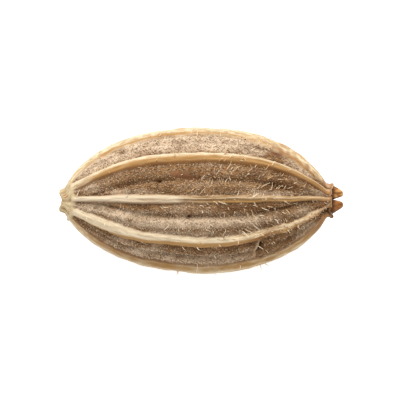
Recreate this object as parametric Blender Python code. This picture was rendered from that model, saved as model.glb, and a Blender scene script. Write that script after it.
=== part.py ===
"""A dried cumin seed: one plump, ribbed fruit, 5 mm long, lying on its side.

The seed lies along X, with the broken stump of its stalk at -X and the two
dried lobes that crown its tip at +X. Ten ribs run from end to end. The fine
felt between them sits lower than the ribs and is parted by a furrow midway.
"""
import math

import bmesh
import bpy
from mathutils import Matrix, Vector, noise

# The seed is shaped in millimetres and brought to metres at the end.
MM = 0.001

# Overall form (mm)
HALF_WIDTH = 1.365          # across Y, to a line through the crests
HALF_DEPTH = 1.130          # across Z: the seed is slightly pressed flat
WIDEST_X = 0.031            # station of the widest section
STALK_HALF = 2.452          # half-length of the ellipse on the stalk's side
TIP_HALF = 2.222            # half-length of the ellipse on the tip's side
END_SHARPNESS = 7.0         # how tightly the body turns into its stump and neck

# Stalk stump: a short fluted tube, broken off hollow
STUMP_RIM_X = -2.468
STUMP_RIM_RADIUS = 0.205
STUMP_WAIST_RADIUS = 0.235
STUMP_BASE_X = -2.400       # where the body's surface takes over
STUMP_HOLLOW = 0.055        # depth of the hollow in its broken end
STUMP_CORNER = 0.034        # how far the rim's two side corners reach beyond it
STUMP_LEAN = -0.026         # the stump sits a little towards -Y
STUMP_LEAN_X = -2.200       # and the lean starts here

# Tip: a neck with a thin collar, and two blunt lobes standing in it
NECK_RADIUS = 0.308
NECK_END_X = 2.235
COLLAR_X = 2.305
COLLAR_RADIUS = 0.325
COLLAR_HOLLOW = 0.035
LOBE_ROOT_X = 2.150
TIP_END_X = 2.500
LOBE_HALF_WIDTH = 0.175
LOBE_HALF_HEIGHT = 0.165
LOBE_TIP_SHARE = 0.30       # width of a lobe's blunt end as a share of its root
LOBE_FULLNESS = 0.45        # 0 is an egg, towards 1 a straight-sided peg
LOBE_SIDES = 12
LOBE_RINGS = 8
# For each lobe: Y of its root, Y of its end
LOBES = ((0.140, 0.140), (-0.150, -0.090))

# Ribs and felt (mm)
RIBS = 10
RIB_HALF_WIDTH = 0.085
FELT_DEPTH = 0.085          # felt surface below the rib crests
SWELLING = 0.030            # rise of the felt between a rib and a furrow
SWELLING_PLACE = 0.52       # its middle, as a share of the way to the furrow
SWELLING_SPREAD = 0.28
FURROW_DEPTH = 0.090
FURROW_HALF_WIDTH = 0.060
END_RELIEF = 0.25           # share of the relief that is left where stump and neck begin
RIM_RELIEF = 0.15           # and on their rims
# The ribs draw together towards the top and the bottom, more so at the ends
RIB_GATHER_MIDDLE = math.radians(2.8)
RIB_GATHER_END = math.radians(8.5)
RIB_WANDER = math.radians(0.9)
UNEVENNESS = 0.022

# The cleft in the felt on the -Y side, near the tip
CLEFT_X = 1.071
CLEFT_ANGLE = math.radians(-56.0)
CLEFT_DEPTH = 0.080
CLEFT_HALF_LENGTH = 0.10
CLEFT_HALF_ARC = 0.16

# The lowest rib is pressed flat, so that the seed rests as it lies
REST_CUT = 0.105

# Mesh: columns stand closer on the ribs than in the felt
COLUMNS_PER_RIB = 12
COLUMN_CROWDING = 0.70
BODY_RINGS = 34

NOISE_PLACE = Vector((3.1, 7.7, 1.9))


def smoothstep(low, high, value):
    t = min(max((value - low) / (high - low), 0.0), 1.0)
    return t * t * (3.0 - 2.0 * t)


def bell(distance, spread):
    return math.exp(-((distance / spread) ** 2))


def envelope_radius(x):
    """Radius of the crests across Y at a station: an ellipse, eased into its ends."""
    half = STALK_HALF if x < WIDEST_X else TIP_HALF
    end = STUMP_WAIST_RADIUS if x < WIDEST_X else NECK_RADIUS
    u = (x - WIDEST_X) / half
    ellipse = HALF_WIDTH * math.sqrt(max(1.0 - u * u, 0.0))
    return (ellipse ** END_SHARPNESS + end ** END_SHARPNESS) ** (1.0 / END_SHARPNESS)


def profile():
    """(x, radius, relief share) from the stalk's hollow to the middle of the collar's."""
    hollow_x = STUMP_RIM_X + STUMP_HOLLOW
    points = [(hollow_x, 0.0, 0.0),
              (hollow_x - 0.15 * STUMP_HOLLOW, 0.50 * STUMP_RIM_RADIUS, 0.0),
              (STUMP_RIM_X + 0.3 * STUMP_HOLLOW, 0.80 * STUMP_RIM_RADIUS, 0.0),
              (STUMP_RIM_X, STUMP_RIM_RADIUS, RIM_RELIEF)]
    middle = (STUMP_BASE_X + NECK_END_X) / 2
    half = (NECK_END_X - STUMP_BASE_X) / 2
    for i in range(BODY_RINGS):
        x = middle - half * math.cos(math.pi * (i + 0.5) / BODY_RINGS)
        radius = envelope_radius(x)
        points.append((x, radius, END_RELIEF + (1.0 - END_RELIEF)
                       * smoothstep(0.20, 0.60, radius / HALF_WIDTH)))
    hollow_x = COLLAR_X - COLLAR_HOLLOW
    points += [(COLLAR_X, COLLAR_RADIUS, RIM_RELIEF),
               (COLLAR_X, 0.84 * COLLAR_RADIUS, 0.0),
               (hollow_x, 0.55 * COLLAR_RADIUS, 0.0),
               (hollow_x, 0.0, 0.0)]
    return points


def crowd_columns(angle):
    """Draw a column's angle towards the nearest rib."""
    return angle - COLUMN_CROWDING * math.sin(RIBS * angle) / RIBS


def rib_angle(theta, share):
    """Angle from the top of a line that follows the ribs, where the section has a share
    of the full width."""
    endwards = 1.0 - smoothstep(0.45, 0.92, share)
    gather = RIB_GATHER_MIDDLE + (RIB_GATHER_END - RIB_GATHER_MIDDLE) * endwards
    return theta - gather * math.sin(2.0 * theta)


def relief(theta, share):
    """Depth of the felt below the rib crests, in millimetres."""
    pitch = 2.0 * math.pi / RIBS
    rib = round(theta / pitch)
    off = abs(theta - rib * pitch)
    reach = share * math.hypot(HALF_WIDTH * math.cos(theta), HALF_DEPTH * math.sin(theta))
    distance = off * reach
    crest = max(1.0 - (distance / RIB_HALF_WIDTH) ** 2, 0.0)
    way = off / (pitch / 2)
    to_furrow = (1.0 - way) * reach * pitch / 2
    felt = FELT_DEPTH - SWELLING * bell(way - SWELLING_PLACE, SWELLING_SPREAD)
    felt += FURROW_DEPTH * bell(to_furrow, FURROW_HALF_WIDTH)
    return (1.0 - crest) * felt


def cleft(x, angle, share):
    side = math.remainder(angle - CLEFT_ANGLE, 2.0 * math.pi)
    arc = side * share * HALF_WIDTH
    return CLEFT_DEPTH * bell(x - CLEFT_X, CLEFT_HALF_LENGTH) * bell(arc, CLEFT_HALF_ARC)


def seed_point(point, normal, theta):
    """Place one point of the ribbed surface."""
    x, radius, relief_share = point
    share = radius / HALF_WIDTH
    rib = round(theta * RIBS / (2.0 * math.pi)) % RIBS
    wander = RIB_WANDER * noise.noise(Vector((x * 0.9, rib * 5.3, 0.4)))
    angle = rib_angle(theta, share) + wander
    depth = relief_share * relief(theta, share) + cleft(x, angle, share)
    across = Vector((math.sin(angle) / HALF_WIDTH, math.cos(angle) / HALF_DEPTH)).normalized()
    outward = Vector((normal[0], normal[1] * across.x, normal[1] * across.y))
    lean = STUMP_LEAN * (1.0 - smoothstep(STUMP_BASE_X, STUMP_LEAN_X, x))
    place = Vector((x, radius * math.sin(angle) + lean,
                    radius * HALF_DEPTH / HALF_WIDTH * math.cos(angle)))
    uneven = UNEVENNESS * (0.5 + 0.5 * noise.noise(place * 1.6 + NOISE_PLACE))
    corner = STUMP_CORNER * math.sin(angle) ** 2 if x <= STUMP_RIM_X and radius else 0.0
    return place - outward * (depth + uneven * share) - Vector((corner, 0.0, 0.0))


def profile_normals(points):
    """Outward normal of the profile at each of its points."""
    normals = []
    for i in range(len(points)):
        before = Vector(points[max(i - 1, 0)][:2])
        after = Vector(points[min(i + 1, len(points) - 1)][:2])
        along = (after - before).normalized()
        normals.append((-along.y, along.x))
    normals[0] = (-1.0, 0.0)
    normals[-1] = (1.0, 0.0)
    return normals


def ribbed_body():
    """A sphere's net of rings and columns, drawn out into the ribbed seed."""
    points = profile()
    normals = profile_normals(points)
    rings = len(points) - 1
    bm = bmesh.new()
    bmesh.ops.create_uvsphere(bm, u_segments=RIBS * COLUMNS_PER_RIB, v_segments=rings,
                              radius=1.0)
    for vert in bm.verts:
        ring = round(rings * math.acos(max(-1.0, min(1.0, -vert.co.z))) / math.pi)
        theta = crowd_columns(math.atan2(-vert.co.y, vert.co.x))
        vert.co = seed_point(points[ring], normals[ring], theta)
    return bm


def tip_lobe(root_y, end_y):
    """One blunt lobe: an egg drawn out along X, tapered and leaning."""
    bm = bmesh.new()
    bmesh.ops.create_uvsphere(bm, u_segments=LOBE_SIDES, v_segments=LOBE_RINGS, radius=1.0)
    length = TIP_END_X - LOBE_ROOT_X
    for vert in bm.verts:
        along = (vert.co.z + 1.0) / 2
        taper = 1.0 + (LOBE_TIP_SHARE - 1.0) * along
        roundness = math.hypot(vert.co.x, vert.co.y)
        full = max(roundness, 1e-6) ** -LOBE_FULLNESS
        across = vert.co.x * full * LOBE_HALF_WIDTH * taper
        up = vert.co.y * full * LOBE_HALF_HEIGHT * taper
        vert.co = Vector((LOBE_ROOT_X + length * along,
                          root_y + (end_y - root_y) * along + across, up))
    return bm


def new_object(name, bm, collection):
    mesh = bpy.data.meshes.new(name)
    bm.to_mesh(mesh)
    bm.free()
    piece = bpy.data.objects.new(name, mesh)
    collection.objects.link(piece)
    return piece


def join_lobes(body, collection):
    """Union the body with every lobe in the collection, and drop the lobes."""
    union = body.modifiers.new("join_lobes", "BOOLEAN")
    union.operation = "UNION"
    union.operand_type = "COLLECTION"
    union.collection = collection
    union.solver = "EXACT"
    bpy.context.view_layer.update()
    evaluated = body.evaluated_get(bpy.context.evaluated_depsgraph_get())
    joined = bpy.data.meshes.new_from_object(evaluated)
    body.modifiers.clear()
    body.data = joined
    for lobe in list(collection.objects):
        bpy.data.objects.remove(lobe, do_unlink=True)
    bpy.data.collections.remove(collection)


def lay_to_rest(body):
    """Slice the lowest rib flat, set the seed on Z = 0 over the origin, and go to metres."""
    bm = bmesh.new()
    bm.from_mesh(body.data)
    lowest = min(vert.co.z for vert in bm.verts)
    everything = bm.verts[:] + bm.edges[:] + bm.faces[:]
    cut = bmesh.ops.bisect_plane(bm, geom=everything, dist=1e-5,
                                 plane_co=(0.0, 0.0, lowest + REST_CUT),
                                 plane_no=(0.0, 0.0, -1.0), clear_outer=True)
    rim = [item for item in cut["geom_cut"] if isinstance(item, bmesh.types.BMEdge)]
    bmesh.ops.holes_fill(bm, edges=rim, sides=0)
    bmesh.ops.triangulate(bm, faces=[face for face in bm.faces if len(face.verts) > 4])
    low = [min(vert.co[i] for vert in bm.verts) for i in range(3)]
    high = [max(vert.co[i] for vert in bm.verts) for i in range(3)]
    shift = Vector((-(low[0] + high[0]) / 2, -(low[1] + high[1]) / 2, -low[2]))
    bmesh.ops.translate(bm, verts=bm.verts, vec=shift)
    bmesh.ops.scale(bm, verts=bm.verts, vec=(MM, MM, MM))
    bm.to_mesh(body.data)
    bm.free()


def dried_husk():
    """Dry, matt, tan fruit wall."""
    material = bpy.data.materials.new("dried_cumin_husk")
    material.use_nodes = True
    shader = material.node_tree.nodes["Principled BSDF"]
    shader.inputs["Base Color"].default_value = (0.41, 0.27, 0.155, 1.0)
    shader.inputs["Roughness"].default_value = 0.85
    shader.inputs["Metallic"].default_value = 0.0
    return material


def main():
    for thing in list(bpy.data.objects):
        bpy.data.objects.remove(thing, do_unlink=True)
    scene_collection = bpy.context.scene.collection
    seed = new_object("seed", ribbed_body(), scene_collection)
    lobes = bpy.data.collections.new("tip_lobes")
    scene_collection.children.link(lobes)
    for number, (root_y, end_y) in enumerate(LOBES):
        new_object(f"tip_lobe_{number}", tip_lobe(root_y, end_y), lobes)
    join_lobes(seed, lobes)
    lay_to_rest(seed)
    seed.data.materials.clear()
    seed.data.materials.append(dried_husk())
    seed.data.shade_smooth()


main()
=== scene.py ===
# %% [markdown]
# # A dried cumin seed
# This lesson dresses one cumin seed, five millimetres long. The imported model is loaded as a
# fixed frame: it says how long, wide and high the seed is and where it lies. Everything that
# follows is shaped in millimetres inside that box and turned into metres at the end.

# %% Load the frame
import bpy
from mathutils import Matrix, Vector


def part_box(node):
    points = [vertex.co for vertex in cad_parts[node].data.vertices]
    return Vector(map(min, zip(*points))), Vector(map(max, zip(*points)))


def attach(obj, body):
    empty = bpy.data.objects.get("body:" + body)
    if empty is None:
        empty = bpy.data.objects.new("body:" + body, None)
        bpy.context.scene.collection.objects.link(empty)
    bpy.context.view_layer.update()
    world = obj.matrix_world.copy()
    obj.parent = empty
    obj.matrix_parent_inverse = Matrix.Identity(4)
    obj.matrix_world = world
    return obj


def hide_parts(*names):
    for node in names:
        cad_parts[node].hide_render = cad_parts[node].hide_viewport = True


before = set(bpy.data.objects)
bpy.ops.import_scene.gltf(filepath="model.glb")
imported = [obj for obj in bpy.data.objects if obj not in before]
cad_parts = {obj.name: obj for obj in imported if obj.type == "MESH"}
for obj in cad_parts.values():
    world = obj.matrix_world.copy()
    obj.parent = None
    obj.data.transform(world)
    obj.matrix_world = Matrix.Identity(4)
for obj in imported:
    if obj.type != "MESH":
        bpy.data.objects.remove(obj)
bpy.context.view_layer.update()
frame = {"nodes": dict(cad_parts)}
print("nodes in the frame:", ", ".join(frame["nodes"]))

# %% [markdown]
# ## Tools and sizes
# bmesh makes and shapes the meshes, and numpy moves many thousands of their vertices at once.
# The seed's box is asked from the frame, in metres, and kept here in millimetres, because
# nobody thinks of a seed in metres.

# %% Libraries and the seed's box
import itertools
import math

import bmesh
import bpy
import numpy as np

MM = 0.001
low, high = (np.array(corner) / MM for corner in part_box("seed"))
LENGTH, WIDTH, HEIGHT = high - low
MIDDLE_X, MIDDLE_Y = (low + high)[:2] / 2
print(f"seed: {LENGTH:.2f} x {WIDTH:.2f} x {HEIGHT:.2f} mm")

# %% [markdown]
# ## The seed's body plan
# A cumin fruit is a spindle with ten cords, the ribs, drawn from the stalk to the tip. It
# could be sculpted by hand, but a seed is regular enough for a formula. Its outline is two half
# ellipses that meet at the widest place and run out into a stump and a neck. All sizes
# follow from the frame's box, so the dressed seed fits the plain one.

# %% Body plan
HALF_WIDTH = WIDTH / 2 * 1.058      # to a line through the crests, which the side ribs miss
HALF_DEPTH = HALF_WIDTH * 0.828     # the fruit is pressed slightly flat
AXIS_Z = high[2] - HALF_DEPTH + 0.006
WIDEST_X = MIDDLE_X + 0.006 * LENGTH
STALK_HALF = 0.4905 * LENGTH
TIP_HALF = 0.4445 * LENGTH
END_SHARPNESS = 7.0                 # how briskly the ellipses turn into stump and neck
STUMP_RIM_X = low[0] + 0.032
STUMP_RADIUS = 0.210
NECK_RADIUS = 0.308
COLLAR_X = high[0] - 0.195
RIBS = 10
PITCH = 2 * math.pi / RIBS


def smoothstep(start, end, value):
    """From 0 to 1 while value goes from start to end, level at both ends."""
    t = np.clip((value - start) / (end - start), 0.0, 1.0)
    return t * t * (3.0 - 2.0 * t)


def bell(distance, spread):
    """One at no distance, falling off to nothing over about twice the spread."""
    return np.exp(-((distance / spread) ** 2))


def envelope_radius(x):
    """Radius of the crests across Y at a station: an ellipse, eased into stump and neck."""
    stalk_side = x < WIDEST_X
    u = (x - WIDEST_X) / np.where(stalk_side, STALK_HALF, TIP_HALF)
    end = np.where(stalk_side, STUMP_RADIUS, NECK_RADIUS)
    ellipse = HALF_WIDTH * np.sqrt(np.clip(1.0 - u * u, 0.0, 1.0))
    return (ellipse ** END_SHARPNESS + end ** END_SHARPNESS) ** (1.0 / END_SHARPNESS)


print(f"crests: {2 * HALF_WIDTH:.2f} mm wide and {2 * HALF_DEPTH:.2f} mm deep, ribs every "
      f"{math.degrees(PITCH):.0f} degrees")

# %% [markdown]
# ## The path from end to end
# The skin is described by two numbers: how far along the seed, and at which angle round it.
# The first one runs along a path that starts in the hollow of the broken stalk, goes over its
# rim, along the body, over the collar at the tip and down into it. Each place on the path has
# its own share of the relief, so that the stump and the collar stay smooth.

# %% The path
# Both ends as turned on a lathe: x past the stump's rim or the collar's edge, and radius
STUMP_PROFILE = ((0.060, 0.0), (0.050, 0.06), (0.024, 0.100), (0.002, 0.120), (0.0, 0.142),
                 (0.008, 0.170), (0.024, 0.190), (0.050, 0.205))
COLLAR_PROFILE = ((-0.040, NECK_RADIUS + 0.001), (-0.018, NECK_RADIUS + 0.006),
                  (-0.003, NECK_RADIUS - 0.002), (0.006, 0.288), (0.000, 0.266),
                  (-0.030, 0.245), (-0.050, 0.12), (-0.052, 0.0))
BODY_STEPS = 600
PATH_STEPS = 3000
END_RELIEF = 0.10            # share of the relief on the stump and the collar


def path_table():
    """Share of the way, x, radius, relief share and outward normal, closely spaced."""
    body_x = np.linspace(STUMP_RIM_X + 0.07, COLLAR_X - 0.060, BODY_STEPS)
    x = np.concatenate([[STUMP_RIM_X + dx for dx, _ in STUMP_PROFILE], body_x,
                        [COLLAR_X + dx for dx, _ in COLLAR_PROFILE]])
    radius = np.concatenate([[r for _, r in STUMP_PROFILE], envelope_radius(body_x),
                             [r for _, r in COLLAR_PROFILE]])
    share = 0.22 + 0.78 * smoothstep(0.18, 0.55, radius / HALF_WIDTH)
    share[:len(STUMP_PROFILE)] = END_RELIEF
    share[-len(COLLAR_PROFILE):] = END_RELIEF
    run = np.concatenate([[0.0], np.cumsum(np.hypot(np.diff(x), np.diff(radius)))])
    even = np.linspace(0.0, run[-1], PATH_STEPS)
    x, radius, share = (np.interp(even, run, values) for values in (x, radius, share))
    slope_x, slope_r = np.gradient(x), np.gradient(radius)
    size = np.hypot(slope_x, slope_r)
    return even / run[-1], x, radius, share, -slope_r / size, slope_x / size


PATH = path_table()
PATH_LENGTH = np.sum(np.hypot(np.diff(PATH[1]), np.diff(PATH[2])))
print(f"path over the skin: {PATH_LENGTH:.2f} mm")

# %% [markdown]
# ## Uneven, as grown
# Nothing on a seed is exactly regular. One lattice of random numbers, blended smoothly,
# gives every unevenness in this lesson, from the sway of a rib to the crumbs in the felt.
# The lattice comes from a seeded generator, so that each run makes the same seed.

# %% Smooth random values
CELLS = 32
LATTICE = np.random.default_rng(11).random((CELLS, CELLS, CELLS)) * 2.0 - 1.0
LATTICE_START = 40.0         # keeps every place on the positive side of the lattice


def cloud(points, size):
    """Smooth values from -1 to 1 that change over a distance of size, for rows of points."""
    place = points / size + LATTICE_START
    cell = np.floor(place).astype(int)
    part = place - cell
    part = part * part * (3.0 - 2.0 * part)
    total = np.zeros(len(points))
    for corner in itertools.product((0, 1), repeat=3):
        weight = np.prod(np.where(corner, part, 1.0 - part), axis=1)
        i, j, k = ((cell + corner) % CELLS).T
        total += weight * LATTICE[i, j, k]
    return total


print(f"lattice: {LATTICE.size} values from {LATTICE.min():.2f} to {LATTICE.max():.2f}")

# %% [markdown]
# ## Where the ribs run
# Ten ribs could stand at even angles, but in a real fruit they draw together towards the top
# and the bottom, stray by a degree or two, and two of them wander. Modelling each as a curve
# would mean fitting the felt to ten curves. Instead each angle is bent a little before it is
# used, and all that lies on it bends along: rib_angle gathers the ribs, and sway moves each.

# %% Courses of the ribs
TOP_RIB, SLIM_RIB, BROAD_RIB, FAR_BROAD_RIB, RAGGED_RIB = 0, 1, 2, 8, 9
# For each rib, counted from the top towards +Y: how many degrees it strays from its even
# place, and how many more it strays at the stalk
RIB_SWAY = np.radians([0.0, 2.4, 0.0, -1.5, 1.0, 0.0, -1.2, 1.4, 0.0, 0.4])
STALK_SWAY = np.radians([0.0, -2.6, 0.0, 0.0, 1.5, 0.0, -1.5, 0.0, 0.0, 0.0])
# Two ribs wander: by so many degrees towards +Y at these stations along the seed
WANDER_X = (-2.20, -1.50, -1.00, -0.30, 0.45, 0.90, 1.20, 1.60, 2.05, 2.25)
WANDER = {TOP_RIB: (0.0, 0.0, -0.8, -0.2, 0.4, 0.8, 1.3, 0.8, 4.2, 4.0),
          RAGGED_RIB: (1.0, 0.9, -1.2, -0.7, -0.7, 0.3, 3.6, 1.5, 2.8, 3.0)}
GATHER_MIDDLE = math.radians(2.8)
GATHER_END = math.radians(8.5)


def rib_angle(theta, share):
    """The ribs draw together towards the top and the bottom, more so at the ends."""
    endwards = 1.0 - smoothstep(0.45, 0.92, share)
    gather = GATHER_MIDDLE + (GATHER_END - GATHER_MIDDLE) * endwards
    return theta - gather * np.sin(2.0 * theta)


def sway(theta, x):
    """Each rib strays a little from its even place; between ribs the shift is blended."""
    ribs = np.arange(RIBS + 1) * PITCH
    shift = np.interp(theta % (2 * math.pi), ribs, np.append(RIB_SWAY, RIB_SWAY[0]))
    stalkward = np.interp(theta % (2 * math.pi), ribs, np.append(STALK_SWAY, STALK_SWAY[0]))
    shift = shift + stalkward * smoothstep(0.8, 1.9, -x)
    for rib, degrees in WANDER.items():
        apart = np.abs((theta / PITCH - rib + RIBS / 2) % RIBS - RIBS / 2)
        shift += np.clip(1.0 - apart, 0.0, 1.0) * np.radians(np.interp(x, WANDER_X, degrees))
    return shift


middle_angles = rib_angle(np.arange(5) * PITCH, np.ones(5))
middle_angles = np.degrees(middle_angles + sway(np.arange(5) * PITCH, np.zeros(5)))
print("ribs from the top to +Y, in degrees:", ", ".join(f"{a:.1f}" for a in middle_angles))

# %% [markdown]
# ## The cords
# A rib is a smooth cord of stiff fibres, much the same width from end to end, so the felt
# between two ribs narrows towards the ends until the cords touch. The two broad cords at the
# sides have a groove on either flank, and one of them is worn towards the tip. The cord next
# to the top on the -Y side frays there. A tube for each rib would show a joint where it meets
# the skin, so the cords are relief, and their width is all that has to be given here.

# %% Width of the cords
# For each rib: half-width in mm, and the share of it that is lost towards the tip
RIB_HALF_WIDTHS = np.array([0.080, 0.122, 0.135, 0.105, 0.090, 0.105, 0.090, 0.105, 0.135, 0.112])
RIB_TAPERS = np.array([0.15, 0.40, 0.05, 0.30, 0.40, 0.35, 0.40, 0.30, 0.30, 0.32])
RAGGED_START_X = 0.95


def cord_half_width(x, across, rib, line, ragged, worn):
    """Half the width of the cords in mm: tapered, a little uneven, and wider on one side."""
    half = RIB_HALF_WIDTHS[rib] * (1.0 - RIB_TAPERS[rib] * smoothstep(0.7, 2.2, x))
    half = half * (1.0 - 0.15 * smoothstep(1.0, 2.1, -x))
    half = half * (1.0 + (rib == RAGGED_RIB) * (0.42 * smoothstep(0.6, 1.9, -x)
                                                - 0.45 * smoothstep(1.8, 2.3, -x)))
    half = half * (1.0 + 0.30 * (rib == TOP_RIB) * smoothstep(0.2, 1.0, -x))
    half = half * (1.0 + 0.08 * cloud(line, 0.30)
                   + (0.07 + 0.28 * ragged + 0.05 * worn) * cloud(line, 0.07))
    broad = (rib == BROAD_RIB) * (across < 0)
    far_broad = (rib == FAR_BROAD_RIB) * (across > 0)
    inner = broad * (0.15 + 1.00 * smoothstep(0.35, 1.30, x))
    inner = inner + 0.25 * far_broad * smoothstep(-1.4, 0.3, x)
    inner = inner + 0.20 * (rib == RAGGED_RIB) * (across < 0) * bell(x + 0.2, 0.8)
    outer = 0.30 * (rib == BROAD_RIB) * (across > 0)
    outer = outer + 0.20 * (rib == FAR_BROAD_RIB) * (across < 0)
    return half * (1.0 + inner) * (1.0 - outer * smoothstep(0.7, 1.8, x))


print(f"cords: {2 * RIB_HALF_WIDTHS.min():.2f} to {2 * RIB_HALF_WIDTHS.max():.2f} mm wide")

# %% [markdown]
# ## The split cord on top
# The rib on top has split in two threads over most of its length, with a groove between them
# on a low band. The thread on the +Y side runs all the way, and the other comes and goes. Each
# thread is a bell-shaped crest across the band, because that needs no edges of its own.

# %% The split cord
SPLIT_START_X = -0.45        # from here on the top rib is a low band with two threads
SPLIT_END_X = 1.75           # up to here; beyond it the top rib is one cord again
SPLIT_HALF_WIDTH = 0.058
BAND_DEPTH = 0.050
THREAD_HEIGHT = 0.042


def split_band(x, across, rib):
    """Where the low band of the split cord is."""
    top = (rib == TOP_RIB) * (1.0 - smoothstep(0.8, 1.2, np.abs(across) / SPLIT_HALF_WIDTH))
    split = smoothstep(SPLIT_START_X - 0.12, SPLIT_START_X + 0.15, x) * top
    return split * smoothstep(SPLIT_END_X + 0.15, SPLIT_END_X - 0.15, x)


def split_threads(x, across):
    """The two threads on the band, from 0 in the groove to 1 on a thread."""
    drift = np.stack([x, np.zeros(len(x)), np.full(len(x), 3.0)], axis=1)
    shift = 0.012 * cloud(drift, 0.30)
    thick = 0.020 + 0.008 * smoothstep(0.4, 1.2, x) + 0.005 * cloud(drift + 4.0, 0.2)
    upper = bell(across - 0.028 - shift, thick)
    upper = upper * (0.85 + 0.15 * cloud(drift + 2.0, 0.25))
    lower = bell(across + 0.024 - 1.5 * shift, 0.012)
    lower = lower * smoothstep(-0.35, 0.35, cloud(drift + 9.0, 0.45) + 0.20 * x)
    lower = lower * smoothstep(2.05, 1.65, x)
    return np.clip(upper + 0.75 * lower, 0.0, 1.0)


print(f"split cord: {SPLIT_END_X - SPLIT_START_X:.2f} mm long")

# %% [markdown]
# ## Tones of the cords
# Dry cords are straw-coloured. Their flanks turn golden, old bruises turn umber, and where they
# have bleached they are ashen. On the top, slim and ragged cords the golden and umber flank on the
# -Y side is painted shade, and on the slim and ragged cords the ashen flank that faces the light
# is painted light. This could be painted by hand, but painting would need an image. Each cord has
# aged in its own way, so each has a short function, which gives those three amounts. edge runs
# from -1 to 1 across the cord, the way the ribs are counted.

# %% Tones of the narrow cords
def hidden_cord(x, edge):
    """The cords below: golden flanks with a thin umber margin."""
    golden = 0.6 * smoothstep(0.45, 0.95, np.abs(edge))
    umber = 0.5 * smoothstep(0.75, 1.0, np.abs(edge))
    return golden, umber, np.zeros(len(x))


def top_cord(x, edge):
    """Bleached towards the stalk, and golden with a brown -Y flank towards the tip; that flank,
    away from the light, is painted shade.
    """
    golden = 0.4 * smoothstep(0.3, 0.9, np.abs(edge))
    # painted shade: golden and brown on the -Y flank, which faces away from the light
    golden = golden + smoothstep(-0.3, 0.5, x) * (0.55 - 0.40 * smoothstep(0.0, 0.3, edge))
    umber = (0.25 + 0.4 * smoothstep(-0.2, -0.8, edge)) * smoothstep(2.1, 1.5, x)
    return golden, umber, smoothstep(0.0, -0.6, x)


def slim_cord(x, edge):
    """Golden on the side of the top cord, down to an umber foot, both painted shade, and ashen
    beyond, which is painted light.
    """
    # painted shade: golden, then umber, on the flank away from the light
    golden = 0.08 + 0.92 * smoothstep(0.25, -0.25, edge)
    umber = 0.9 * smoothstep(-0.40, -0.80, edge)
    umber = umber + (0.8 * bell(edge - 0.60, 0.25) * smoothstep(0.6, 0.9, x)
                     * smoothstep(2.0, 1.6, x))
    # painted light: ashen on the flank that faces the light
    return golden, umber, 0.6 * smoothstep(0.05, 0.5, edge) * smoothstep(1.2, 0.4, x)


gold_near_tip = [cord(np.ones(1), np.zeros(1))[0][0] for cord in (hidden_cord, top_cord, slim_cord)]
print("gold on the crests towards the tip:", ", ".join(f"{g:.2f}" for g in gold_near_tip))

# %% [markdown]
# ### Broad and ragged cords
# These three are blotched as well: their random patches are drawn out along the cord, because
# dry fibre stains lengthwise. Last, one function asks each cord for its tones and adds the
# gold that all of them take on towards the tip.

# %% Tones of the broad and ragged cords
# For each rib: its share of the gold that all cords take on towards the tip
TIP_GOLD = np.array([0.5, 0.4, 0.3, 1.0, 1.0, 1.0, 1.0, 1.0, 0.3, 0.0])


def patches(x, edge, rib, longer, across, size):
    """Random patches of a size on one cord, so many times longer than wide."""
    place = np.stack([x / longer, edge * across, np.full(len(x), rib * 1.9)], axis=1)
    return cloud(place, size)


def broad_cord(x, edge):
    """A golden line along its upper flank, and mottled umber where it is worn."""
    upper = -edge
    patch = patches(x, edge, BROAD_RIB, 3.5, 0.12, 0.10)
    mottle = patches(x, edge, BROAD_RIB, 1.0, 0.15, 0.07)
    golden = 0.9 * bell(upper - 0.66, 0.16) * (1.0 - 0.7 * bell(x - 1.1, 0.4))
    golden = golden + 0.22 * smoothstep(0.3, -0.3, upper) + 0.3 * smoothstep(0.0, 0.7, patch)
    umber = 0.3 * bell(upper - 0.75, 0.14)
    umber = umber + (0.5 + 0.5 * patch) * smoothstep(0.25, 0.60, upper) * smoothstep(1.2, 1.5, x)
    umber = umber + 0.6 * smoothstep(2.02, 2.2, x)
    umber = umber + 0.40 * smoothstep(0.0, 0.5, mottle) * smoothstep(0.7, 1.1, x)
    return golden, umber, 0.5 * smoothstep(0.45, 0.10, upper) * smoothstep(1.2, 0.4, x)


def far_broad_cord(x, edge):
    """Paler than the other broad cord, and brown towards both ends."""
    patch = patches(x, edge, FAR_BROAD_RIB, 3.5, 0.12, 0.10)
    golden = 0.10 + 0.5 * bell(edge - 0.50, 0.25) + 0.3 * smoothstep(0.0, 0.7, patch)
    umber = 0.8 * bell(edge - 0.85, 0.14) + 0.30 * smoothstep(-0.3, -1.0, x)
    umber = umber + 0.9 * smoothstep(1.6, 2.2, x)
    return golden, umber, 0.5 * smoothstep(0.45, 0.10, edge) * smoothstep(1.2, 0.4, x)


def ragged_cord(x, edge):
    """Golden below a line that sinks towards the stalk, painted shade on the -Y flank; ashen above
    it, painted light; brown where it frays.
    """
    # painted shade: golden below this line, on the flank away from the light; painted light: ashen
    # above it
    low_line = edge + 0.22 * smoothstep(-0.3, -1.2, x) + 0.35 * smoothstep(-1.0, -1.8, x)
    umber = 0.2 * smoothstep(-0.60, -0.90, edge) + 0.7 * bell(x - 1.20, 0.20)
    umber = umber + 0.7 * smoothstep(1.85, 2.15, x)
    umber = umber + 0.7 * smoothstep(0.15, -0.25, edge) * bell(x - 0.95, 0.25)
    ashen = 0.55 * smoothstep(-0.25, 0.10, low_line) * smoothstep(0.9, 0.3, x)
    return smoothstep(0.22, -0.14, low_line), umber, ashen


CORD_TONES = {TOP_RIB: top_cord, SLIM_RIB: slim_cord, BROAD_RIB: broad_cord,
              FAR_BROAD_RIB: far_broad_cord, RAGGED_RIB: ragged_cord}


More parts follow.
